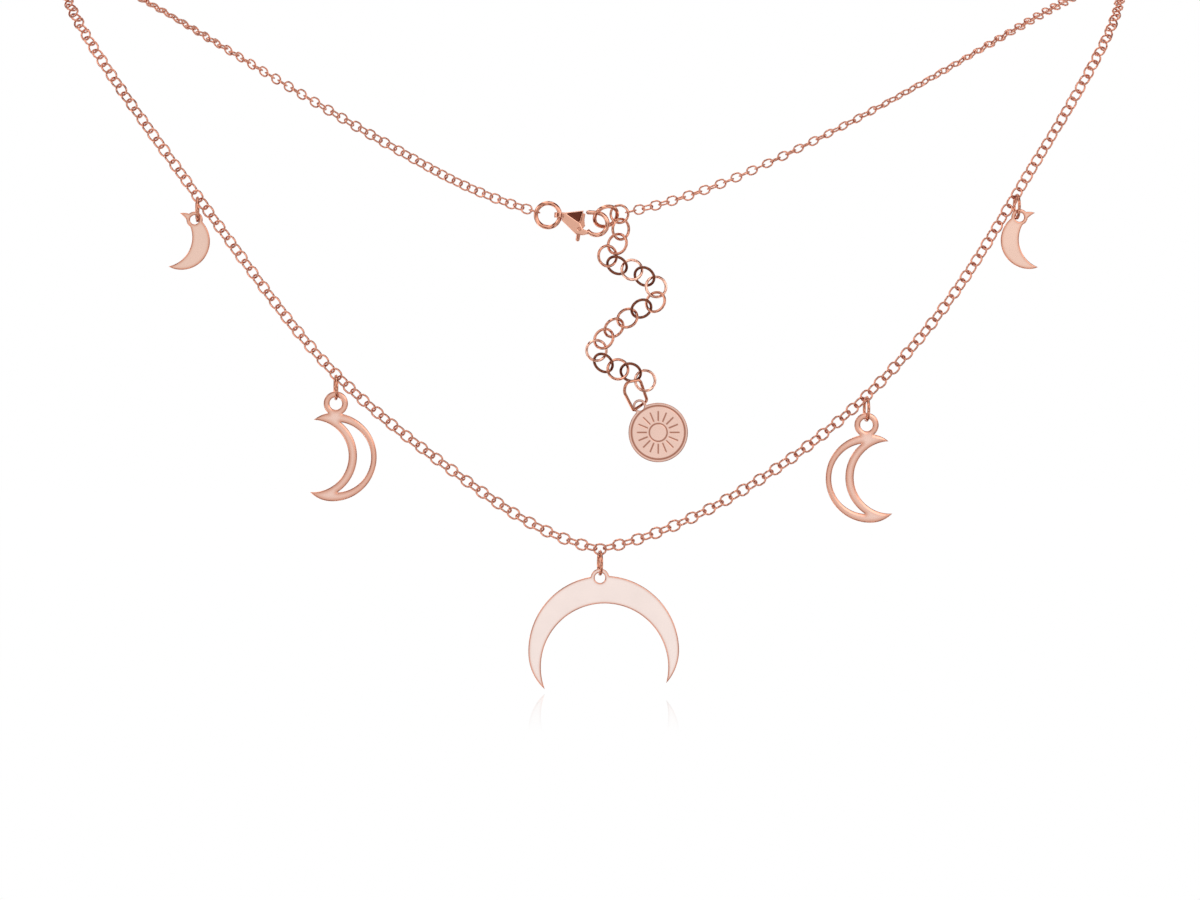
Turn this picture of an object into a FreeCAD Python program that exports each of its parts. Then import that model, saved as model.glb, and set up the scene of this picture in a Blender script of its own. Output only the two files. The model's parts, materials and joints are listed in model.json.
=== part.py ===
import FreeCAD, Part
import math
import os
import random

# Fine rolo-chain necklace with five flat crescent charms, a lobster clasp and an extender.
# Millimetres. +X is the wearer's left as seen from the front, +Y points from the front of
# the loop to the nape, +Z is up. The origin is the middle of the neck, level with the two
# highest points of the chain, where it lies on the sides of the neck.

V = FreeCAD.Vector
DEPTH_AXIS = V(0, 1, 0)

# ---- loop ----
LOOP_DEPTH = 85.0                  # front plane to nape plane
FRONT_Y = -LOOP_DEPTH / 2
NAPE_Y = LOOP_DEPTH / 2
FRONT_DROP = 79.0                  # the lowest chain link hangs this far below the origin
SHOULDER_HANDLE = 50.0             # how far the side curve keeps each end's direction

# ---- chain links: oval wire rings, each turned against its neighbours ----
LINK_WIRE = 0.26                   # wire diameter
LINK_WIDTH = 1.56                  # across the oval, outside
LINK_LENGTH = 1.81                 # along the chain, outside
LINK_COUNT = {-1: 185, 1: 179}     # on each side, without the lowest link
LINK_TWIST = 62.0                  # every second link is turned this far about the chain
TWIST_SPREAD = 6.0                 # uneven lie of the links, degrees either way
SIDE_ROLL = 28.0                   # the whole chain rolls over this far halfway to the nape
LINK_BEND_RADIUS = (LINK_WIDTH - LINK_WIRE) / 2
LINK_STRAIGHT = LINK_LENGTH - LINK_WIDTH

# ---- jump rings that carry the crescents ----
CHARM_RING_WIRE = 0.40
CHARM_RING_RADIUS = 1.50           # to the middle of the wire
CHARM_RING_DROP = {"center": 0.26, "medium": 0.20, "small": 0.20}
CHARM_RING_YAW = 8.0               # the rings aren't quite edge-on to the front
REST_GAP = 0.03                    # between pieces that hang on each other

# ---- crescents: flat plates, closed side along local +X before they are placed ----
# rest_angle: where the hole's middle lies from the ring's wire; 0 is away from the neck, 90 is up
PLATE_THICKNESS = 0.5
CRESCENTS = {
    "center": {
        "radius": 9.80, "band": 3.60, "tip_angle": 120.0, "tip_reach": 0.931,
        "eyelet_angle": 0.0, "eyelet_distance": 9.55, "eyelet_radius": 1.20, "hole_radius": 0.68,
        "rest_angle": -90.0,
    },
    "medium": {
        "radius": 5.76, "band": 3.64, "tip_angle": 119.5, "tip_reach": 0.937,
        "eyelet_angle": 89.2, "eyelet_distance": 6.97, "eyelet_radius": 1.58, "hole_radius": 0.82,
        "rest_angle": -90.0,
    },
    "small": {
        "radius": 3.72, "band": 2.34, "tip_angle": 104.6, "tip_reach": 0.983,
        "eyelet_angle": 70.1, "eyelet_distance": 3.28, "eyelet_radius": 1.06, "hole_radius": 0.60,
        "rest_angle": 20.0,
    },
}
# the crescent-shaped window in the medium crescent, from the plate's own centre
WINDOW_TIP_ANGLE = 79.2
WINDOW_TIP_DISTANCE = 4.65
WINDOW_OUTER = 5.04
WINDOW_INNER = 3.20

# ---- clasp end ----
END_RING_WIRE = 0.66
END_RING_RADIUS = 1.775
CATCH_RING_WIRE = 0.58
CATCH_RING_RADIUS = 1.775
CATCH_RING_TILT = 42.0             # about a line in the front view
CATCH_RING_TILT_AXIS = 30.0        # that line's angle above level
CATCH_RING_OFFSET = (1.40, 0.05, 1.10)    # from the claw's middle
CONNECTOR_WIRE = 0.38
CONNECTOR_RADIUS = 1.30
CONNECTOR_TURN = 5.0               # about the vertical, away from the front

# ---- lobster clasp, in its own plane: u along the pull, w upwards, from the eye's middle ----
EYE_RADIUS = 0.86
EYE_HOLE_RADIUS = 0.50
EYE_HEIGHT = 0.80
CLASP_THICKNESS = 1.30
SLOT_WIDTH = 0.66
RECESS_DEPTH = 0.24
LEVER_THICKNESS = 0.54
CLAW_CENTER = (5.42, -1.20)
CLAW_RADIUS = 1.64
CLAW_WIRE = 0.68
CLAW_ROOT_ANGLE = 214.0
CLAW_TOP_ANGLE = 92.0
PIVOT = (2.90, -2.00)
PIN_RADIUS = 0.20
PIN_CLEARANCE = 0.04
THUMB_TIP = (2.68, -3.56)
THUMB_RADIUS = 0.30
SPRING_WIRE = 0.09
CLASP_SLOPE = -1.0                 # the clasp's pull line, degrees above level

# ---- extender: round links that still lie in the zigzag they were packed in ----
EXTENDER_WIRE = 0.42
EXTENDER_RADIUS = 1.51
# from each link to the next: the direction in degrees from straight down towards +X, the
# distance between centres, and how far the link leans out of the front view
EXTENDER_LAY = [
    (5, 2.25, 38), (-13, 2.25, 29), (-39, 2.30, 28), (46, 1.95, 40), (73, 2.30, 15), (62, 2.10, 36),
    (48, 2.30, 14), (-2, 2.25, 32), (-65, 2.30, 36), (-56, 2.50, 30), (-54, 2.45, 40), (-43, 2.20, 31),
    (-32, 2.05, 14), (29, 2.10, 40), (66, 2.35, 14), (77, 1.95, 35), (60, 2.45, 14),
]

# ---- tag at the extender's end, on a bent ring that is wider at the top ----
TAG_RING_WIRE = 0.46
TAG_RING_HEADING = -37.0
TAG_RING_DISTANCE = 2.84
TAG_RING_LEAN = -10.0              # the line it leans about, degrees from straight down
TAG_RING_TILT = -50.0
# the ring's corners in its own plane, as (along the lean line, across it), and their bends
TAG_RING_CORNERS = [(-1.42, 3.63), (-2.53, -0.81), (0.33, -3.33), (2.12, -0.58)]
TAG_RING_BENDS = [1.15, 0.95, 0.40, 0.40]
TAG_HANG = 0.44                    # where the tag hangs on the run between the two lowest corners
TAG_RADIUS = 4.40
TAG_THICKNESS = 0.40
TAG_EYELET_ANGLE = 125.3
TAG_EYELET_DISTANCE = 4.77
TAG_EYELET_RADIUS = 1.02
TAG_HOLE_RADIUS = 0.66
TAG_GROOVE_RADIUS = 4.05
TAG_GROOVE_WIRE = 0.14


def polar(distance, degrees):
    """A point in the XZ plane, its angle counted from +X towards +Z."""
    angle = math.radians(degrees)
    return V(distance * math.cos(angle), 0, distance * math.sin(angle))


def turned(vector, axis, degrees):
    return FreeCAD.Rotation(axis, degrees).multVec(vector)


def ring(center, normal, radius, wire):
    return Part.makeTorus(radius, wire / 2, center, normal)


def oval_link(bend_radius, straight, wire):
    """A closed oval of wire in the XY plane, its long axis along X."""
    half = Part.makeTorus(bend_radius, wire / 2, V(), V(0, 0, 1), 0, 360, 180)
    pieces = []
    for side in (-1, 1):
        end = half.copy()
        end.rotate(V(), V(0, 0, 1), -90 * side)
        end.translate(V(side * straight / 2, 0, 0))
        pieces.append(end)
        start = V(-straight / 2, side * bend_radius, 0)
        pieces.append(Part.makeCylinder(wire / 2, straight, start, V(1, 0, 0)))
    return pieces[0].fuse(pieces[1:]).removeSplitter()


def lay_link(link, center, along, normal):
    """Places an oval link with its long axis on along and its plane square to normal."""
    along = V(along).normalize()
    across = normal.cross(along).normalize()
    normal = along.cross(across)
    turn = FreeCAD.Matrix(
        along.x, across.x, normal.x, center.x,
        along.y, across.y, normal.y, center.y,
        along.z, across.z, normal.z, center.z,
        0, 0, 0, 1,
    )
    placed = link.copy()
    placed.Placement = FreeCAD.Placement(turn)
    return placed


def plate(edges, thickness):
    """A flat plate in the XZ plane, centred on Y = 0, from its outline's edges."""
    face = Part.Face(Part.Wire(Part.__sortEdges__(edges)))
    solid = face.extrude(V(0, thickness, 0))
    solid.translate(V(0, -thickness / 2, 0))
    return solid


def polygon_plate(points, thickness):
    corners = [V(u, 0, w) for u, w in points]
    return plate(Part.makePolygon(corners + corners[:1]).Edges, thickness)


def round_post(radius, length, center):
    """A cylinder along Y, centred on a point."""
    return Part.makeCylinder(radius, length, center - DEPTH_AXIS * (length / 2), DEPTH_AXIS)


# ---- the chain's path ----

# half of the front V, as x and height above the lowest link, then where the nape part
# starts and ends; the left and the right side hang a little differently
FRONT_POINTS = {
    -1: [(17.8, 9.2), (34.5, 22.9), (46.2, 37.4), (57.9, 53.6)],
    1: [(19.4, 8.2), (34.7, 20.0), (46.9, 34.5), (57.0, 50.9)],
}
NAPE_POINTS = {
    -1: [(24.4, 54.2), (17.0, 50.7), (9.68, 48.2)],
    1: [(21.5, 53.8), (13.0, 50.5), (4.555, 48.18)],
}
START_SLOPE = 12.0                 # degrees, beside the lowest link


def planar_curve(points, y, first_slope=None):
    curve = Part.BSplineCurve()
    places = [V(x, y, z - FRONT_DROP) for x, z in points]
    if first_slope is None:
        curve.interpolate(places)
    else:
        start = V(first_slope[0], 0, first_slope[1])
        end = (places[-1] - places[-2]).normalize()
        curve.interpolate(Points=places, InitialTangent=start, FinalTangent=end)
    return curve


def side_path(side):
    """One side of the chain, from the lowest link over the shoulder to the nape."""
    rise = math.radians(START_SLOPE)
    start = (side * math.cos(rise), math.sin(rise))
    front = planar_curve([(0, 0)] + [(side * x, z) for x, z in FRONT_POINTS[side]], FRONT_Y, start)
    nape = planar_curve([(side * x, z) for x, z in NAPE_POINTS[side]], NAPE_Y)
    leave = front.tangent(front.LastParameter)[0]
    arrive = nape.tangent(nape.FirstParameter)[0]
    shoulder = Part.BezierCurve()
    shoulder.setPoles([
        front.EndPoint,
        front.EndPoint + leave * SHOULDER_HANDLE,
        nape.StartPoint - arrive * SHOULDER_HANDLE,
        nape.StartPoint,
    ])
    return Part.Wire([front.toShape(), shoulder.toShape(), nape.toShape()])


def chain_side(side, link, chance):
    """The link solids of one side, with each link's centre and direction, lowest first."""
    path = side_path(side)
    count = LINK_COUNT[side]       # odd, so that the last link stands on edge for a flat ring
    points = path.discretize(Number=2 * count + 1)
    centers = points[::2]
    alongs = [points[2 * i + 1] - points[2 * i - 1] for i in range(1, count)]
    alongs = [V(side, 0, 0)] + [a.normalize() for a in alongs]
    alongs.append((points[-1] - points[-2]).normalize())
    # the flat direction is carried along the path, then eased so that it ends on Y
    normals = [V(DEPTH_AXIS)]
    for along in alongs[1:]:
        carried = normals[-1] - along * normals[-1].dot(along)
        normals.append(carried.normalize())
    last = alongs[-1]
    error = math.degrees(math.atan2(normals[-1].cross(DEPTH_AXIS).dot(last), normals[-1].dot(DEPTH_AXIS)))
    solids = []
    for i in range(1, count + 1):
        roll = -SIDE_ROLL * math.sin(math.pi * i / count)
        twist = roll + LINK_TWIST * (i % 2) + chance.uniform(-TWIST_SPREAD, TWIST_SPREAD)
        if i == count:
            twist = 90.0
        eased = error * (i / count) ** 3
        solids.append(lay_link(link, centers[i], alongs[i], turned(normals[i], alongs[i], twist + eased)))
    return solids, centers, alongs


def station_indices(centers, side):
    """The even links that carry the medium and the small crescent."""
    return [station_index(centers, STATION_X[side][size]) for size in ("medium", "small")]


def station_index(centers, distance):
    front = [i for i in range(2, len(centers) // 2, 2) if centers[i].y < FRONT_Y + 1]
    return min(front, key=lambda i: abs(abs(centers[i].x) - distance))


STATION_X = {-1: {"medium": 34.5, "small": 52.6}, 1: {"medium": 34.7, "small": 54.1}}


# ---- crescents ----

def arc_through(first, middle, last):
    return Part.Arc(first, middle, last).toShape()


def crescent_plate(size, hand):
    """A crescent with its eyelet on the side that hand names, and the hole's centre."""
    facts = CRESCENTS[size]
    radius = facts["radius"]
    tip = polar(facts["tip_reach"] * radius, facts["tip_angle"])
    fall = radius - tip.z
    tip_radius = (tip.x**2 + fall**2) / (2 * fall)
    middle_angle = 90 + math.degrees(math.asin(-tip.x / tip_radius)) / 2
    edges = [arc_through(V(0, 0, -radius), V(radius, 0, 0), V(0, 0, radius))]
    for side in (-1, 1):
        middle = V(0, 0, radius - tip_radius) + polar(tip_radius, middle_angle)
        start = V(0, 0, side * radius)
        edges.append(arc_through(start, V(middle.x, 0, side * middle.z), V(tip.x, 0, side * tip.z)))
    edges.append(arc_through(V(tip.x, 0, -tip.z), V(radius - facts["band"], 0, 0), tip))
    body = plate(edges, PLATE_THICKNESS)
    hole = polar(facts["eyelet_distance"], hand * facts["eyelet_angle"])
    body = body.fuse(round_post(facts["eyelet_radius"], PLATE_THICKNESS, hole))
    body = body.cut(round_post(facts["hole_radius"], 2 * PLATE_THICKNESS, hole))
    if size == "medium":
        low = polar(WINDOW_TIP_DISTANCE, -WINDOW_TIP_ANGLE)
        high = polar(WINDOW_TIP_DISTANCE, WINDOW_TIP_ANGLE)
        window = [
            arc_through(low, V(WINDOW_OUTER, 0, 0), high),
            arc_through(low, V(WINDOW_INNER, 0, 0), high),
        ]
        body = body.cut(plate(window, 2 * PLATE_THICKNESS))
    return body.removeSplitter(), hole


def hang_charm(name, size, hand, closed_direction, station):
    """A jump ring through the chain link at station, and its crescent below."""
    top = station - V(0, 0, CHARM_RING_DROP[size])
    center = top - V(0, 0, CHARM_RING_RADIUS)
    normal = turned(V(1, 0, 0), V(0, 0, 1), CHARM_RING_YAW)
    bottom = center - V(0, 0, CHARM_RING_RADIUS)
    facts = CRESCENTS[size]
    play = facts["hole_radius"] - CHARM_RING_WIRE / 2 - REST_GAP
    rest = polar(play, facts["rest_angle"])
    hole_at = bottom + V(math.copysign(rest.x, station.x), 0, rest.z)
    body, hole = crescent_plate(size, hand)
    body.translate(-hole)
    body.rotate(V(), DEPTH_AXIS, -closed_direction)
    body.translate(hole_at)
    print("charm", name, "link", pretty(station), "ring pivot", pretty(top), "hang pivot", pretty(bottom))
    return {
        name + "_jump_ring": ring(center, normal, CHARM_RING_RADIUS, CHARM_RING_WIRE),
        name + "_crescent": body,
    }


def pretty(point):
    return "(%.3f, %.3f, %.3f)" % (point.x, point.y, point.z)


# ---- clasp ----

def clasp_pieces(eye):
    """The clasp's solids, laid from its eye along the pull line."""
    place_uw = lambda u, w: V(u, 0, w)
    claw_center = place_uw(*CLAW_CENTER)
    pivot = place_uw(*PIVOT)
    claw_section_radius = CLAW_WIRE / 2

    eye_loop = Part.makeCylinder(EYE_RADIUS, EYE_HEIGHT, V(0, 0, -EYE_HEIGHT / 2))
    eye_hole = Part.makeCylinder(EYE_HOLE_RADIUS, 2 * EYE_HEIGHT, V(0, 0, -EYE_HEIGHT))
    wedge = [(0.45, 0.34), (3.50, 0.74), (3.40, 0.20), (3.02, -1.15), (3.45, -2.00), (4.15, -2.25),
             (4.20, -2.75), (3.40, -2.95), (2.34, -2.75), (0.25, -0.78)]
    body = polygon_plate(wedge, CLASP_THICKNESS).fuse(eye_loop)
    root = claw_center + polar(CLAW_RADIUS, CLAW_ROOT_ANGLE)
    top = claw_center + polar(CLAW_RADIUS, CLAW_TOP_ANGLE)
    tip = top + V(-1.18, 0, 0.05)
    claw_path = Part.Wire([
        arc_through(root, claw_center + polar(CLAW_RADIUS, -27), top),
        Part.LineSegment(top, tip).toShape(),
    ])
    along_root = turned(polar(1, CLAW_ROOT_ANGLE), DEPTH_AXIS, -90)
    section = Part.Wire(Part.makeCircle(claw_section_radius, root, along_root))
    claw = claw_path.makePipeShell([section], True, True)
    claw = claw.fuse(Part.makeSphere(claw_section_radius, tip))
    body = body.fuse(claw)
    slot = [(1.95, 0.20), (3.70, 0.48), (3.60, -1.98), (3.42, -2.42), (3.15, -3.20), (1.95, -3.20),
            (1.95, -1.70)]
    body = body.cut(polygon_plate(slot, SLOT_WIDTH))
    recess = [(1.00, 0.22), (3.32, 0.55), (2.86, -1.02)]
    for side in (-1, 1):
        pocket = polygon_plate(recess, CLASP_THICKNESS)
        pocket.translate(V(0, side * (CLASP_THICKNESS - RECESS_DEPTH), 0))
        body = body.cut(pocket)
    body = body.cut(eye_hole).cut(round_post(PIN_RADIUS, 2 * CLASP_THICKNESS, pivot))

    gate = [(2.50, -1.85), (3.20, -0.60), (3.24, 0.38), (3.60, 0.31), (3.76, 0.25), (3.64, -0.60),
            (3.68, -1.15), (3.76, -1.52), (3.30, -2.10)]
    lever = polygon_plate(gate, LEVER_THICKNESS).fuse(round_post(0.46, LEVER_THICKNESS, pivot))
    thumb = place_uw(*THUMB_TIP)
    stalk = Part.makeCylinder(THUMB_RADIUS, (thumb - pivot).Length, pivot, thumb - pivot)
    lever = lever.fuse(stalk).fuse(Part.makeSphere(THUMB_RADIUS, thumb))
    lever = lever.cut(round_post(PIN_RADIUS + PIN_CLEARANCE, 2 * CLASP_THICKNESS, pivot))

    pin = round_post(PIN_RADIUS, CLASP_THICKNESS + 0.1, pivot)

    # a hairpin spring lies in the slot behind the gate
    rest = [V(2.28, 0, -1.30), V(2.46, 0, -0.70), V(2.72, 0, -0.12), V(2.30, 0, 0.02), V(2.12, 0, -0.30)]
    spring = tube_through(rest, SPRING_WIRE)
    pieces = {
        "clasp_body": body.removeSplitter(), "clasp_lever": lever.removeSplitter(), "clasp_pin": pin,
        "clasp_spring": spring,
    }
    for piece in pieces.values():
        piece.rotate(V(), DEPTH_AXIS, -CLASP_SLOPE)
        piece.translate(eye)
    return pieces


def tube_through(points, diameter):
    """A bent wire through points, with a ball at each bend."""
    solid = Part.makeSphere(diameter / 2, points[0])
    for near, far in zip(points, points[1:]):
        solid = solid.fuse(Part.makeCylinder(diameter / 2, (far - near).Length, near, far - near))
        solid = solid.fuse(Part.makeSphere(diameter / 2, far))
    return solid.removeSplitter()


# ---- extender and tag ----

def downwards(heading):
    angle = math.radians(heading)
    return V(math.sin(angle), 0, -math.cos(angle))


def plane_depth(center, normal, place):
    """How deep the plane of a ring lies, in Y, in front of or behind place."""
    away = place - center
    return center.y - (normal.x * away.x + normal.z * away.z) / normal.y


def hung_from(above, above_normal, heading, distance, normal):
    """The next ring's centre, at the depth where both wires cross evenly, and that crossing."""
    center = V(above.x, 0, above.z) + downwards(heading) * distance
    crossing = (above + center) / 2
    crossing.y = plane_depth(above, above_normal, crossing)
    center.y = crossing.y - plane_depth(center, normal, crossing)
    return center, crossing


def extender_pieces(start, start_normal):
    """The extender's links from the connector ring down, and the last one's centre and normal."""
    pieces = {}
    center = start
    normal = start_normal
    headings = [heading for heading, _, _ in EXTENDER_LAY] + [TAG_RING_HEADING]
    for i, (heading, distance, tilt) in enumerate(EXTENDER_LAY):
        lean = (heading + headings[i + 1]) / 2
        next_normal = turned(DEPTH_AXIS, downwards(lean), tilt if i % 2 else -tilt)
        center, crossing = hung_from(center, normal, heading, distance, next_normal)
        normal = next_normal
        name = "extender_link_%02d" % (i + 1)
        pieces[name] = ring(center, normal, EXTENDER_RADIUS, EXTENDER_WIRE)
        print("joint", name, pretty(crossing))
    return pieces, center, normal


def rounded_wire(corners, bends, diameter):
    """A closed wire solid along straight runs joined by tangent arcs."""
    ways = []
    befores = corners[-1:] + corners[:-1]
    afters = corners[1:] + corners[:1]
    for before, corner, after, bend in zip(befores, corners, afters, bends):
        back = (before - corner).normalize()
        ahead = (after - corner).normalize()
        half = back.getAngle(ahead) / 2
        reach = bend / math.tan(half)
        inwards = (back + ahead).normalize()
        middle = corner + inwards * (bend / math.sin(half) - bend)
        ways.append((corner + back * reach, middle, corner + ahead * reach))
    solids = []
    for (start, middle, end), (following, _, _) in zip(ways, ways[1:] + ways[:1]):
        arc = arc_through(start, middle, end)
        section = Part.Wire(Part.makeCircle(diameter / 2, start, arc.tangentAt(arc.FirstParameter)))
        solids.append(Part.Wire(arc).makePipeShell([section], True, False))
        run = following - end
        solids.append(Part.makeCylinder(diameter / 2, run.Length, end, run))
    return solids[0].fuse(solids[1:]).removeSplitter()


def tag_pieces(last_link, last_normal):
    along = downwards(TAG_RING_LEAN)
    normal = turned(DEPTH_AXIS, along, TAG_RING_TILT)
    across = normal.cross(along)
    center, crossing = hung_from(last_link, last_normal, TAG_RING_HEADING, TAG_RING_DISTANCE, normal)
    corners = [center + along * a + across * b for a, b in TAG_RING_CORNERS]
    tag_ring = rounded_wire(corners, TAG_RING_BENDS, TAG_RING_WIRE)
    hang = corners[3] + (corners[2] - corners[3]) * TAG_HANG
    eyelet = polar(TAG_EYELET_DISTANCE, TAG_EYELET_ANGLE)
    disc = round_post(TAG_RADIUS, TAG_THICKNESS, V())
    disc = disc.fuse(round_post(TAG_EYELET_RADIUS, TAG_THICKNESS, eyelet))
    disc = disc.cut(round_post(TAG_HOLE_RADIUS, 2 * TAG_THICKNESS, eyelet))
    disc = disc.cut(ring(V(0, -TAG_THICKNESS / 2, 0), DEPTH_AXIS, TAG_GROOVE_RADIUS, TAG_GROOVE_WIRE))
    disc.translate(hang - eyelet)
    print("joint tag_ring", pretty(crossing), "joint tag_disc", pretty(hang))
    return {"tag_ring": tag_ring, "tag_disc": disc}


# ---- assembly ----

def build():
    link = oval_link(LINK_BEND_RADIUS, LINK_STRAIGHT, LINK_WIRE)
    chance = random.Random(11)
    lowest = V(0, FRONT_Y, -FRONT_DROP)
    pieces = {}
    centers = {}
    alongs = {}
    for side, word in ((-1, "left"), (1, "right")):
        solids, centers[side], alongs[side] = chain_side(side, link, chance)
        medium, small = station_indices(centers[side], side)
        if side < 0:
            solids_first = [lay_link(link, lowest, V(1, 0, 0), DEPTH_AXIS)]
        else:
            solids_first = []
        count = len(solids)
        half = (small + count) // 2
        stretches = {
            "inner": (0, medium),
            "middle": (medium, small),
            "shoulder": (small, half),
            "nape": (half, count),
        }
        for stretch, (first, last) in stretches.items():
            links = solids[first:last]
            if stretch == "inner":
                links = solids_first + links
            pieces["chain_%s_%s" % (word, stretch)] = Part.makeCompound(links)
        print("side", word, "links", count, "pitch", round(side_path(side).Length / count, 4))
    pieces.update(hang_charm("center", "center", 1, 92.9, lowest))
    for side, word, medium_turn, small_turn in ((-1, "left", -2.9, -12.0), (1, "right", 182.9, 183.1)):
        medium, small = station_indices(centers[side], side)
        pieces.update(hang_charm(word + "_medium", "medium", -side, medium_turn, centers[side][medium]))
        pieces.update(hang_charm(word + "_small", "small", -side, small_turn, centers[side][small]))

    # left end: flat ring through the last link, then the clasp's eye on the ring's far side
    link_inside = LINK_LENGTH / 2 - LINK_WIRE - REST_GAP
    left_end = centers[-1][-1] + alongs[-1][-1] * (link_inside - END_RING_WIRE / 2 + END_RING_RADIUS)
    pieces["left_end_ring"] = ring(left_end, DEPTH_AXIS, END_RING_RADIUS, END_RING_WIRE)
    eye = left_end + V(END_RING_RADIUS, 0, 0)
    pieces.update(clasp_pieces(eye))
    print("joint left_end_ring", pretty(left_end), "eye", pretty(eye))

    # right end: the connector ring takes the chain, the catch ring and the extender
    held_at = centers[1][-1] + alongs[1][-1] * (link_inside - CONNECTOR_WIRE / 2)
    right = held_at + turned(alongs[1][-1], V(0, 0, -1), CONNECTOR_TURN) * CONNECTOR_RADIUS
    right_normal = turned(DEPTH_AXIS, V(0, 0, -1), CONNECTOR_TURN)
    pieces["connector_ring"] = ring(right, right_normal, CONNECTOR_RADIUS, CONNECTOR_WIRE)
    claw_middle = eye + turned(V(CLAW_CENTER[0], 0, CLAW_CENTER[1]), DEPTH_AXIS, -CLASP_SLOPE)
    catch = claw_middle + V(*CATCH_RING_OFFSET)
    catch_normal = turned(DEPTH_AXIS, polar(1, CATCH_RING_TILT_AXIS), CATCH_RING_TILT)
    pieces["catch_ring"] = ring(catch, catch_normal, CATCH_RING_RADIUS, CATCH_RING_WIRE)
    print("joint connector_ring", pretty(right))
    print("joint catch_ring", pretty(catch), "normal", pretty(catch_normal))
    links, last_link, last_normal = extender_pieces(right, right_normal)
    pieces.update(links)
    pieces.update(tag_pieces(last_link, last_normal))
    return pieces


def write(pieces):
    os.makedirs("parts", exist_ok=True)
    for old in os.listdir("parts"):
        os.remove(os.path.join("parts", old))
    for name, shape in pieces.items():
        shape.exportStep("parts/%s.step" % name)


write(build())
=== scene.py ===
import json
import math

import bmesh
import bpy
import numpy as np
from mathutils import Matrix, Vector
from mathutils.geometry import delaunay_2d_cdt


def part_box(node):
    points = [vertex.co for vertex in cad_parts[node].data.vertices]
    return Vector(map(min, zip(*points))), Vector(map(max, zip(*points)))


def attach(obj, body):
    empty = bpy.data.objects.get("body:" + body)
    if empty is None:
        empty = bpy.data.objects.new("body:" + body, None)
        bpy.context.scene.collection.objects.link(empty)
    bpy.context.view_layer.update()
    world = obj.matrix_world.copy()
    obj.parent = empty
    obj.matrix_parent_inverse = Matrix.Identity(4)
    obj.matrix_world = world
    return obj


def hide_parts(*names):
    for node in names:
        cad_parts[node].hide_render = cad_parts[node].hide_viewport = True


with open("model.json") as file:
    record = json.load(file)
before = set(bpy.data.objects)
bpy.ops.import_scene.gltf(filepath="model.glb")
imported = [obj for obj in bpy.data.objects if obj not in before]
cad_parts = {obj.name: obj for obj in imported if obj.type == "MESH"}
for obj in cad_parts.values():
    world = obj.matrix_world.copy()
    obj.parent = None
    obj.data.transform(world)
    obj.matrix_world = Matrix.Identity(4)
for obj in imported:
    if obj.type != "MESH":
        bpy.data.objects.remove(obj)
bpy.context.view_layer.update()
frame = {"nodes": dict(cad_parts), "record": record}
NODES = frame["nodes"]
MM = 0.001


# ---- camera ----

FRONT_Y = -42.5 * MM               # plane of the front chain and the crescents
CAMERA_DISTANCE = 617.5 * MM       # from the front plane
CAMERA_HEIGHT = -66.1 * MM

camera_data = bpy.data.cameras.new("camera")
camera_data.sensor_width = 36
camera_data.lens = 142.5
camera_data.clip_start = 0.02
camera_data.clip_end = 20
camera = bpy.data.objects.new("camera", camera_data)
camera.location = (0, FRONT_Y - CAMERA_DISTANCE, CAMERA_HEIGHT)
camera.rotation_euler = (math.radians(90), 0, 0)
bpy.context.collection.objects.link(camera)
bpy.context.scene.camera = camera
bpy.context.scene.view_settings.view_transform = "Standard"


# ---- node helpers ----

def new_material(name):
    material = bpy.data.materials.new(name)
    material.use_nodes = True
    tree = material.node_tree
    tree.nodes.clear()
    return material, tree


def add_node(tree, kind, **inputs):
    """A node with its inputs set: a value is stored, a socket is linked. In an input's name an
    underscore stands for a space, and i0 or i1 is the first or second input."""
    node = tree.nodes.new(kind)
    for name, value in inputs.items():
        by_number = name[0] == "i" and name[1:].isdigit()
        socket = node.inputs[int(name[1:]) if by_number else name.replace("_", " ")]
        if isinstance(value, bpy.types.NodeSocket):
            tree.links.new(value, socket)
        else:
            socket.default_value = value
    return node


def ramp(tree, factor, stops):
    """A colour ramp; stops are (position, grey or colour)."""
    node = tree.nodes.new("ShaderNodeValToRGB")
    elements = node.color_ramp.elements
    while len(elements) < len(stops):
        elements.new(1.0)
    for element, (position, colour) in zip(elements, stops):
        element.position = position
        if isinstance(colour, (int, float)):
            colour = (colour, colour, colour)
        element.color = (*colour, 1)
    tree.links.new(factor, node.inputs["Fac"])
    return node.outputs["Color"]


def math_node(tree, operation, *operands):
    node = tree.nodes.new("ShaderNodeMath")
    node.operation = operation
    for socket, value in zip(node.inputs, operands):
        if isinstance(value, bpy.types.NodeSocket):
            tree.links.new(value, socket)
        else:
            socket.default_value = value
    return node.outputs[0]


# ---- studio: what the polished metal reflects ----

PATCH_SCALE = 2.3
BROWN_BLACK = (0.07, 0.02, 0.012)
BROWN = (0.30, 0.13, 0.09)
RUSSET = (0.38, 0.18, 0.13)
BRIGHT = (1.3, 1.2, 1.15)
GLARE = (2.6, 2.6, 2.6)
PATCHES = [(0.42, BROWN_BLACK), (0.49, BROWN), (0.55, RUSSET), (0.59, BRIGHT), (0.66, GLARE)]

# brightness by how far a direction points at the camera: 1 is straight at it, 0 straight away
CAMERA_PANEL = [(0.0, 1.0), (0.02, 1.0), (0.035, 0.0), (0.955, 0.0), (0.982, 0.96), (1.0, 1.0)]

# panels that the flat plates mirror when they are seen from either side
SIDE_PANELS = [(-0.64, -0.64, -0.42), (0.64, -0.64, -0.42), (-0.98, -0.1, -0.1), (0.98, -0.1, -0.1)]
SIDE_PANEL_RAMP = [(0.0, 0.0), (0.90, 0.0), (0.96, 0.85), (1.0, 0.95)]

# a broad dimmer panel behind the necklace, for views from the back
BACK_PANEL_RAMP = [(0.0, 0.0), (0.35, 0.0), (0.6, 0.45), (1.0, 0.6)]


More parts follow.
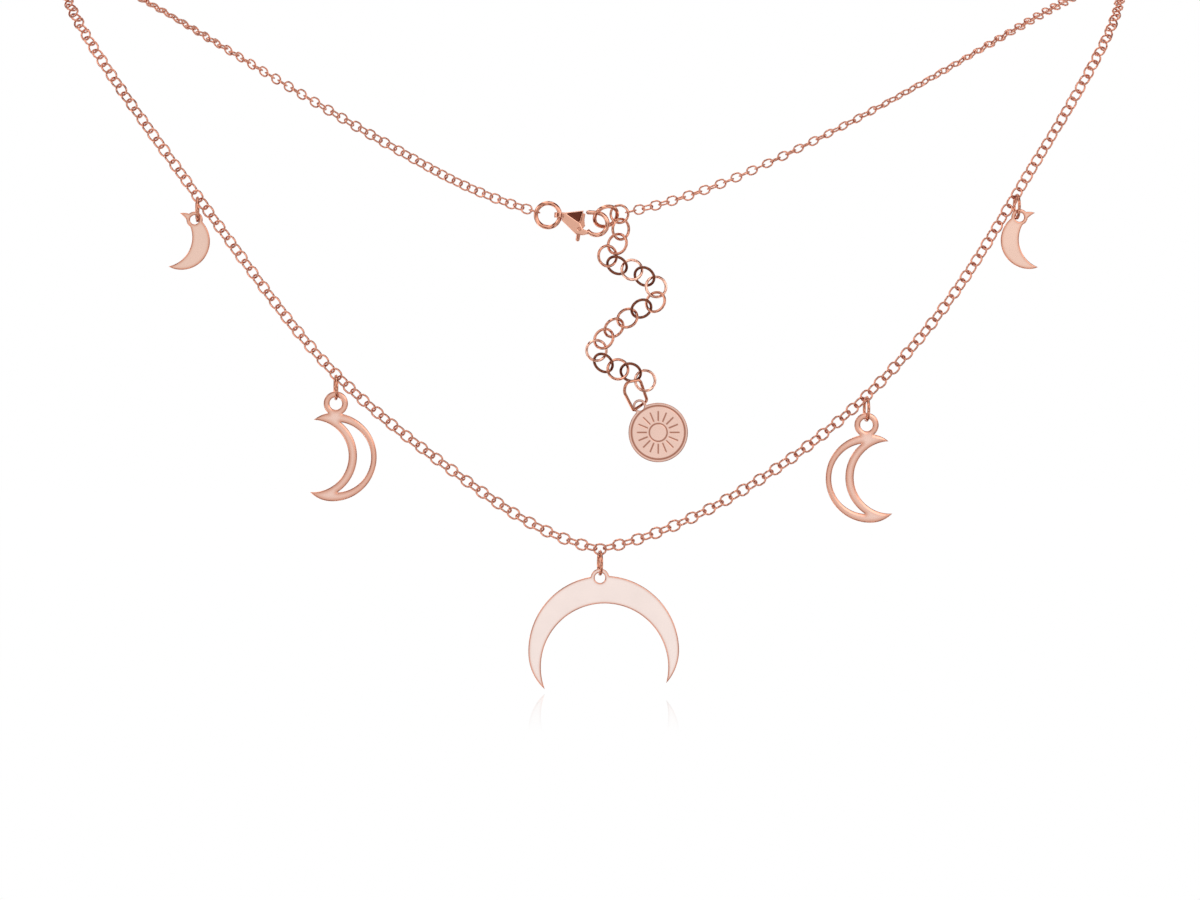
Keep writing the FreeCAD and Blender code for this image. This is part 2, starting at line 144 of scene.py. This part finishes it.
def lighter_of(tree, first, second):
    """The lighter of two colours, channel by channel."""
    node = add_node(tree, "ShaderNodeMix")
    node.data_type = "RGBA"
    node.blend_type = "LIGHTEN"
    node.inputs[0].default_value = 1.0
    tree.links.new(first, node.inputs[6])
    tree.links.new(second, node.inputs[7])
    return node.outputs[2]


def build_world():
    """White for the camera; for reflections, bright panels in a patchy brown room."""
    world = bpy.data.worlds.new("studio")
    bpy.context.scene.world = world
    world.use_nodes = True
    tree = world.node_tree
    tree.nodes.clear()
    direction = add_node(tree, "ShaderNodeTexCoord").outputs["Generated"]
    split = add_node(tree, "ShaderNodeSeparateXYZ", Vector=direction)
    towards_camera = math_node(tree, "MULTIPLY_ADD", split.outputs["Y"], -0.5, 0.5)
    panel = ramp(tree, towards_camera, CAMERA_PANEL)
    cloud = add_node(tree, "ShaderNodeTexNoise", Vector=direction, Scale=PATCH_SCALE, Detail=0.0)
    patches = ramp(tree, cloud.outputs["Fac"], PATCHES)
    light = lighter_of(tree, panel, patches)
    for aim in SIDE_PANELS:
        facing = add_node(tree, "ShaderNodeVectorMath", i0=direction, i1=Vector(aim).normalized())
        facing.operation = "DOT_PRODUCT"
        side_panel = ramp(tree, facing.outputs["Value"], SIDE_PANEL_RAMP)
        light = lighter_of(tree, light, side_panel)
    behind = ramp(tree, split.outputs["Y"], BACK_PANEL_RAMP)
    light = lighter_of(tree, light, behind)
    shown = add_node(tree, "ShaderNodeLightPath").outputs["Is Camera Ray"]
    mixed = add_node(tree, "ShaderNodeMix", Factor=shown)
    mixed.data_type = "RGBA"
    tree.links.new(light, mixed.inputs[6])
    mixed.inputs[7].default_value = (1, 1, 1, 1)
    background = add_node(tree, "ShaderNodeBackground", Strength=1.0)
    tree.links.new(mixed.outputs[2], background.inputs["Color"])
    output = add_node(tree, "ShaderNodeOutputWorld")
    tree.links.new(background.outputs[0], output.inputs["Surface"])


FLOOR_Z = -97.5 * MM
FLOOR_SIZE = 6.0                   # metres
FLOOR_SHINE = 0.28

# the shine sets in 130 mm in front of the origin and is full from 45 mm in front of it
SHINE_SLOPE = 10.0                 # per metre
SHINE_OFFSET = 1.45
SHINE_RAMP = [(0.0, 0.0), (0.15, 0.0), (1.0, FLOOR_SHINE)]


def build_floor():
    """A white floor that mirrors the necklace faintly and is seen by the camera only."""
    bpy.ops.mesh.primitive_plane_add(size=FLOOR_SIZE, location=(0, 0, FLOOR_Z))
    floor = bpy.context.object
    floor.name = "floor"
    material, tree = new_material("floor_white")
    place = add_node(tree, "ShaderNodeTexCoord").outputs["Object"]
    depth = add_node(tree, "ShaderNodeSeparateXYZ", Vector=place).outputs["Y"]
    share = math_node(tree, "MULTIPLY_ADD", depth, SHINE_SLOPE, SHINE_OFFSET)
    shine = ramp(tree, share, SHINE_RAMP)
    plain = add_node(tree, "ShaderNodeEmission", Strength=1.0)
    plain.inputs["Color"].default_value = (1, 1, 1, 1)
    gloss = add_node(tree, "ShaderNodeBsdfGlossy", Roughness=0.02)
    gloss.inputs["Color"].default_value = (1, 1, 1, 1)
    both = add_node(tree, "ShaderNodeMixShader", Fac=shine)
    tree.links.new(plain.outputs[0], both.inputs[1])
    tree.links.new(gloss.outputs[0], both.inputs[2])
    unseen = add_node(tree, "ShaderNodeBsdfTransparent")
    shown = add_node(tree, "ShaderNodeLightPath").outputs["Is Camera Ray"]
    ground = add_node(tree, "ShaderNodeMixShader", Fac=shown)
    tree.links.new(unseen.outputs[0], ground.inputs[1])
    tree.links.new(both.outputs[0], ground.inputs[2])
    output = add_node(tree, "ShaderNodeOutputMaterial")
    tree.links.new(ground.outputs[0], output.inputs["Surface"])
    floor.data.materials.append(material)


build_world()
build_floor()


# ---- metal ----

GRAIN_SCALE = 260.0                # of the faint unevenness in the plating


def metal(name, colour, edge_shade_colour, roughness):
    """Polished plated metal, with a painted shade in another tone along edges marked by the mesh's edge
    attribute.
    """
    material, tree = new_material(name)
    place = add_node(tree, "ShaderNodeTexCoord").outputs["Object"]
    cloud = add_node(tree, "ShaderNodeTexNoise", Vector=place, Scale=GRAIN_SCALE, Detail=2.0)
    tone = ramp(tree, cloud.outputs["Fac"], [(0.3, tuple(c * 0.95 for c in colour)), (0.7, colour)])
    # along the edges the base colour gives way to a painted shade, the darker reflection a rounded rim
    # shows
    edge = add_node(tree, "ShaderNodeAttribute")
    edge.attribute_name = "edge"
    mixed = add_node(tree, "ShaderNodeMix")
    mixed.data_type = "RGBA"
    tree.links.new(edge.outputs["Fac"], mixed.inputs[0])
    tree.links.new(tone, mixed.inputs[6])
    mixed.inputs[7].default_value = (*edge_shade_colour, 1)
    gloss = ramp(tree, cloud.outputs["Fac"], [(0.3, roughness * 0.9), (0.7, roughness * 1.1)])
    shader = add_node(tree, "ShaderNodeBsdfPrincipled", Metallic=1.0, Roughness=gloss)
    tree.links.new(mixed.outputs[2], shader.inputs["Base Color"])
    output = add_node(tree, "ShaderNodeOutputMaterial")
    tree.links.new(shader.outputs[0], output.inputs["Surface"])
    return material


ROSE = (0.58, 0.26, 0.17)
# the colour of the painted shade along the plates' edges
EDGE_SHADE_COPPER = (0.60, 0.23, 0.13)
MATERIALS = {
    "chain": metal("chain_metal", (0.64, 0.30, 0.21), EDGE_SHADE_COPPER, 0.10),
    "jump_rings": metal("ring_metal", ROSE, EDGE_SHADE_COPPER, 0.08),
    "clasp": metal("clasp_metal", (0.66, 0.32, 0.22), EDGE_SHADE_COPPER, 0.10),
    "extender": metal("extender_metal", (0.60, 0.28, 0.19), EDGE_SHADE_COPPER, 0.08),
    "tag_ring": metal("tag_ring_metal", (0.50, 0.22, 0.14), EDGE_SHADE_COPPER, 0.08),
    # the tag's edge colour is a painted shade in its cut lines and along its rim
    "tag": metal("tag_metal", (0.84, 0.58, 0.49), (0.30, 0.09, 0.045), 0.12),
    "crescent_pale": metal("pale_metal", (0.93, 0.79, 0.74), EDGE_SHADE_COPPER, 0.12),
    "crescent_warm": metal("warm_metal", (0.86, 0.60, 0.51), EDGE_SHADE_COPPER, 0.14),
    "crescent_rose": metal("rose_metal", (0.82, 0.57, 0.47), EDGE_SHADE_COPPER, 0.12),
}

# some of the extender's links mirror something dark and others something bright; here the tone of
# their metal is a painted reflection that stands in for that, dark on some links and bright on others
DARK_REFLECTION_LINKS = (4, 6, 9, 14, 16)
BRIGHT_REFLECTION_LINKS = (5, 7, 13, 17)
DARK_REFLECTION_LINK_METAL = metal("painted_dark_reflection_metal", (0.20, 0.07, 0.04), EDGE_SHADE_COPPER, 0.08)
BRIGHT_REFLECTION_LINK_METAL = metal("painted_bright_reflection_metal", (0.80, 0.47, 0.36), EDGE_SHADE_COPPER, 0.10)
LINK_METALS = {"extender_link_%02d" % number: DARK_REFLECTION_LINK_METAL for number in DARK_REFLECTION_LINKS}
LINK_METALS.update({"extender_link_%02d" % number: BRIGHT_REFLECTION_LINK_METAL for number in BRIGHT_REFLECTION_LINKS})
LINK_METALS["tag_ring"] = MATERIALS["tag_ring"]

for part in frame["record"]["subparts"]:
    node = NODES[part["node"]]
    node.data.materials.clear()
    node.data.materials.append(LINK_METALS.get(part["node"], MATERIALS[part["material_slot"]]))


# ---- plates: the flat CAD outlines with rounded rims and swelling faces ----

def plate_outlines(node):
    """The outlines of a plate's back face as closed rows of points in X and Z, the outer one first."""
    mesh = bmesh.new()
    mesh.from_mesh(NODES[node].data)
    bmesh.ops.remove_doubles(mesh, verts=mesh.verts, dist=1e-7)
    back = max(vertex.co.y for vertex in mesh.verts)
    flat = [face for face in mesh.faces if all(abs(vertex.co.y - back) < 1e-6 for vertex in face.verts)]
    on_back = set(flat)
    following = {}
    # the faces are taken in the mesh's own order, so that each row starts at the same point every run
    for face in flat:
        for loop in face.loops:
            if not any(other in on_back for other in loop.edge.link_faces if other is not face):
                following[loop.vert] = loop.link_loop_next.vert
    loops = []
    while following:
        vertex = next(iter(following))
        row = []
        while vertex in following:
            row.append((vertex.co.x, vertex.co.z))
            vertex = following.pop(vertex)
        loops.append(np.array(row))
    mesh.free()
    loops.sort(key=lambda row: -np.ptp(row[:, 0]) * np.ptp(row[:, 1]))
    return loops


def distance_to_outline(points, loops):
    """The distance from each point to the nearest outline."""
    nearest = np.full(len(points), np.inf)
    for row in loops:
        starts = row
        runs = np.roll(row, -1, axis=0) - row
        lengths = np.maximum((runs ** 2).sum(1), 1e-16)
        for start, run, length in zip(starts, runs, lengths):
            away = points - start
            share = np.clip(away @ run / length, 0, 1)
            gap = np.hypot(*(away - share[:, None] * run).T)
            nearest = np.minimum(nearest, gap)
    return nearest


def inside_outline(points, loops):
    """Which points lie in the plate, by counting the outlines crossed to one side."""
    inside = np.zeros(len(points), bool)
    for row in loops:
        for (x0, z0), (x1, z1) in zip(row, np.roll(row, -1, axis=0)):
            spans = (z0 > points[:, 1]) != (z1 > points[:, 1])
            with np.errstate(divide="ignore", invalid="ignore"):
                crossing = x0 + (points[:, 1] - z0) / (z1 - z0) * (x1 - x0)
            inside ^= spans & (points[:, 0] < crossing)
    return inside


def even_row(row, step):
    """The same closed outline with points about step apart."""
    closed = np.vstack([row, row[:1]])
    lengths = np.hypot(*np.diff(closed, axis=0).T)
    along = np.concatenate([[0], np.cumsum(lengths)])
    count = max(12, int(along[-1] / step))
    places = np.linspace(0, along[-1], count, endpoint=False)
    return np.column_stack([np.interp(places, along, closed[:, 0]), np.interp(places, along, closed[:, 1])])


OUTLINE_STEP = 0.09 * MM
PLATE_STEP = 0.16 * MM
RIM_STEPS = (0.02, 0.05, 0.09, 0.15, 0.23, 0.33)    # millimetres in from the outline
RIM_SLACK = 0.985                  # a rim point nearer than this share of its step lies in a corner
GRID_GAP = 0.07                    # millimetres from the last rim step to the grid
GRID_ROW = 0.866                   # distance between the grid's rows, in steps


def rim_points(loops):
    """Points alongside the outlines, inside the plate, at each of the rim's steps."""
    rows = []
    insets = []
    for row in loops:
        ahead = np.roll(row, -1, axis=0) - np.roll(row, 1, axis=0)
        sideways = np.column_stack([-ahead[:, 1], ahead[:, 0]])
        sideways /= np.maximum(np.hypot(*sideways.T), 1e-12)[:, None]
        for inset in RIM_STEPS:
            for side in (-1, 1):
                rows.append(row + side * inset * MM * sideways)
                insets.append(np.full(len(row), inset * MM))
    points = np.vstack(rows)
    clear = distance_to_outline(points, loops) > RIM_SLACK * np.concatenate(insets)
    return points[clear & inside_outline(points, loops)]


def grid_points(loops, step):
    """A triangular grid of points over the plate, inside its rim."""
    outline = np.vstack(loops)
    low, high = outline.min(0), outline.max(0)
    columns = np.arange(low[0], high[0], step)
    rows = np.arange(low[1], high[1], step * GRID_ROW)
    grid_x, grid_z = np.meshgrid(columns, rows)
    grid_x[1::2] += step / 2
    grid = np.column_stack([grid_x.ravel(), grid_z.ravel()])
    grid = grid[inside_outline(grid, loops)]
    return grid[distance_to_outline(grid, loops) > (RIM_STEPS[-1] + GRID_GAP) * MM]


def fill_outline(points, loops):
    """Joins the points, the outlines' own ones first, into triangles that fill the plate."""
    edges = []
    first = 0
    for row in loops:
        edges += [(first + i, first + (i + 1) % len(row)) for i in range(len(row))]
        first += len(row)
    in_millimetres = [Vector(point * 1000) for point in points]
    flat, _, triangles, _, _, _ = delaunay_2d_cdt(in_millimetres, edges, [], 0, 1e-6)
    flat = np.array([(point.x, point.y) for point in flat]) * MM
    triangles = np.array(triangles)
    return flat, triangles[inside_outline(flat[triangles].mean(1), loops)]


def open_edges(triangles):
    """The edges that only one triangle has, which run along the outlines."""
    pairs = {}
    for a, b, c in triangles:
        for pair in ((a, b), (b, c), (c, a)):
            if pair[::-1] in pairs:
                del pairs[pair[::-1]]
            else:
                pairs[pair] = True
    return list(pairs)


def swelling_plate(name, node, height, tone, step=PLATE_STEP):
    """A closed plate over the node's outline. height(points, distance) lifts each face off the
    middle plane; tone(points, distance) is how far each point takes the painted shade along the edges."""
    loops = [even_row(row, OUTLINE_STEP) for row in plate_outlines(node)]
    points = np.vstack(loops + [rim_points(loops), grid_points(loops, step)])
    flat, triangles = fill_outline(points, loops)
    distance = distance_to_outline(flat, loops)
    distance[distance < 1e-7] = 0
    lift = height(flat, distance)
    low_corner, high_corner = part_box(node)
    middle = (low_corner.y + high_corner.y) / 2
    count = len(flat)
    vertices = [(x, middle - h, z) for (x, z), h in zip(flat, lift)]
    vertices += [(x, middle + h, z) for (x, z), h in zip(flat, lift)]
    front = [tuple(triangle) for triangle in triangles.tolist()]
    back = [tuple(i + count for i in reversed(triangle)) for triangle in front]
    rim = [(b, a, a + count, b + count) for a, b in open_edges(front)]
    faces = front + back + rim
    mesh = bpy.data.meshes.new(name)
    mesh.from_pydata(vertices, [], faces)
    mesh.polygons.foreach_set("use_smooth", [True] * len(faces))
    # how far each point takes the painted shade along the edges
    painted_shade_marks = mesh.attributes.new("edge", "FLOAT", "POINT")
    painted_shade_marks.data.foreach_set("value", np.tile(tone(flat, distance), 2).astype(np.float32))
    mesh.validate()
    plate = bpy.data.objects.new(name, mesh)
    bpy.context.collection.objects.link(plate)
    return plate


def rounded_rim(distance, half, radius):
    """Half the plate's thickness at each distance from its outline, with a quarter-round rim."""
    inner = np.clip(radius - distance, 0, radius)
    return half - radius + np.sqrt(radius ** 2 - inner ** 2)


HALF_PLATE = 0.25 * MM
RIM_RADIUS = 0.09 * MM
MEDIUM_SWELL = 0.04 * MM           # only the medium crescents have rounded faces
MEDIUM_SWELL_WIDTH = 0.55 * MM
# width and strength of the painted shade along each crescent's edges
EDGE_SHADE_WIDTH = {"center": 0.19 * MM, "medium": 0.42 * MM, "small": 0.22 * MM}
EDGE_SHADE_DEPTH = {"center": 1.0, "medium": 0.8, "small": 0.95}
CRESCENT_SLOTS = {"center": "crescent_pale", "medium": "crescent_warm", "small": "crescent_rose"}


def build_crescent(charm):
    size = charm.split("_")[-1]

    def height(points, distance):
        plain = rounded_rim(distance, HALF_PLATE, RIM_RADIUS)
        if size != "medium":
            return plain
        share = np.clip(distance / MEDIUM_SWELL_WIDTH, 0, 1)
        return plain + MEDIUM_SWELL * np.sin(share * math.pi / 2)

    # the painted shade along the rim
    def tone(points, distance):
        return EDGE_SHADE_DEPTH[size] * np.exp(-(distance / EDGE_SHADE_WIDTH[size]) ** 2)

    node = charm + "_crescent"
    plate = swelling_plate(node + "_plate", node, height, tone)
    slot = CRESCENT_SLOTS[size]
    plate.data.materials.append(MATERIALS[slot])
    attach(plate, node)
    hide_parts(node)


for charm in ("center", "left_medium", "left_small", "right_medium", "right_small"):
    build_crescent(charm)


# ---- tag: a rim line and a plain ring of rays cut into the disc ----

HALF_TAG = 0.2 * MM
TAG_RIM_RADIUS = 0.08 * MM
TAG_STEP = 0.07 * MM
# width and strength of the painted shade along the tag's rim
TAG_EDGE_SHADE_WIDTH = 0.14 * MM
TAG_EDGE_SHADE_DEPTH = 0.8
CUT_DEPTH = 0.012 * MM
CUT_WIDTH = 0.15 * MM              # half a cut line, to where it fades out
RIM_CUT_WIDTH = 0.20 * MM
RAYS = 16
RIM_LINE = 0.90                    # this and the next three are shares of the tag's radius
INNER_LINE = 0.30
RAY_START = 0.40
RAY_END = 0.70


def build_tag():
    low_corner, high_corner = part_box("tag_disc")
    radius = (high_corner.x - low_corner.x) / 2
    middle = np.array([(low_corner.x + high_corner.x) / 2, low_corner.z + radius])

    def cut(points):
        """1 in the middle of a cut line, 0 beside it."""
        away = points - middle
        reach = np.hypot(*away.T)
        rim_cut = np.clip(1 - abs(reach - RIM_LINE * radius) / RIM_CUT_WIDTH, 0, 1)
        line_gap = abs(reach - INNER_LINE * radius)
        sector = 2 * math.pi / RAYS
        angle = (np.arctan2(away[:, 1], away[:, 0]) + sector / 2) % sector - sector / 2
        beyond = np.maximum(RAY_START * radius - reach, reach - RAY_END * radius)
        ray_gap = np.hypot(reach * np.sin(angle), np.maximum(beyond, 0))
        fine_cut = np.clip(1 - np.minimum(line_gap, ray_gap) / CUT_WIDTH, 0, 1)
        return np.maximum(rim_cut, fine_cut) ** 0.6

    def height(points, distance):
        return rounded_rim(distance, HALF_TAG, TAG_RIM_RADIUS) - CUT_DEPTH * cut(points)

    # painted shade in the cut lines and along the rim
    def tone(points, distance):
        return np.maximum(cut(points), TAG_EDGE_SHADE_DEPTH * np.exp(-(distance / TAG_EDGE_SHADE_WIDTH) ** 2))

    plate = swelling_plate("tag_plate", "tag_disc", height, tone, TAG_STEP)
    plate.data.materials.append(MATERIALS["tag"])
    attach(plate, "tag_disc")
    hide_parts("tag_disc")


build_tag()


# ---- clasp: the cut-out CAD body with the soft edges of a casting ----

RECESS = ((-4.93, -31.15), (-2.58, -30.86), (-3.05, -32.42))    # its corners in X and Z, in mm
RECESS_BLUR = 0.06 * MM
# painted shade in the recess of the clasp's wedge
RECESS_PAINTED_SHADE = (0.13, 0.035, 0.02)
SKIN_VOXEL = 0.04 * MM


def paint_shade_inside(material, corners, colour):
    """The material takes a painted shade colour within a triangle seen from the front."""
    tree = material.node_tree
    place = add_node(tree, "ShaderNodeTexCoord").outputs["Object"]
    inside = None
    for (x0, z0), (x1, z1) in zip(corners, corners[1:] + corners[:1]):
        away = Vector((z0 - z1, 0, x1 - x0)).normalized()
        reach = add_node(tree, "ShaderNodeVectorMath", i0=place, i1=away)
        reach.operation = "DOT_PRODUCT"
        limit = (away.x * x0 + away.z * z0) * MM
        along = reach.outputs["Value"]
        beyond = math_node(tree, "MULTIPLY_ADD", along, -1 / RECESS_BLUR, limit / RECESS_BLUR)
        beyond.node.use_clamp = True
        inside = beyond if inside is None else math_node(tree, "MULTIPLY", inside, beyond)
    shader = next(node for node in tree.nodes if node.type == "BSDF_PRINCIPLED")
    plain = shader.inputs["Base Color"].links[0].from_socket
    mixed = add_node(tree, "ShaderNodeMix", Factor=inside)
    mixed.data_type = "RGBA"
    tree.links.new(plain, mixed.inputs[6])
    mixed.inputs[7].default_value = (*colour, 1)
    tree.links.new(mixed.outputs[2], shader.inputs["Base Color"])


CLASP_BODY_METAL = metal("clasp_body_metal", (0.74, 0.40, 0.29), EDGE_SHADE_COPPER, 0.12)
# the recess takes a painted shade
paint_shade_inside(CLASP_BODY_METAL, RECESS, RECESS_PAINTED_SHADE)
NODES["clasp_body"].data.materials[0] = CLASP_BODY_METAL


def soften(node, rounds):
    """Joins the node's solids into one skin and smooths it."""
    remesh = NODES[node].modifiers.new("one skin", "REMESH")
    remesh.mode = "VOXEL"
    remesh.voxel_size = SKIN_VOXEL
    remesh.use_smooth_shade = True
    smooth = NODES[node].modifiers.new("soft edges", "SMOOTH")
    smooth.iterations = rounds


soften("clasp_body", 24)
soften("clasp_lever", 10)
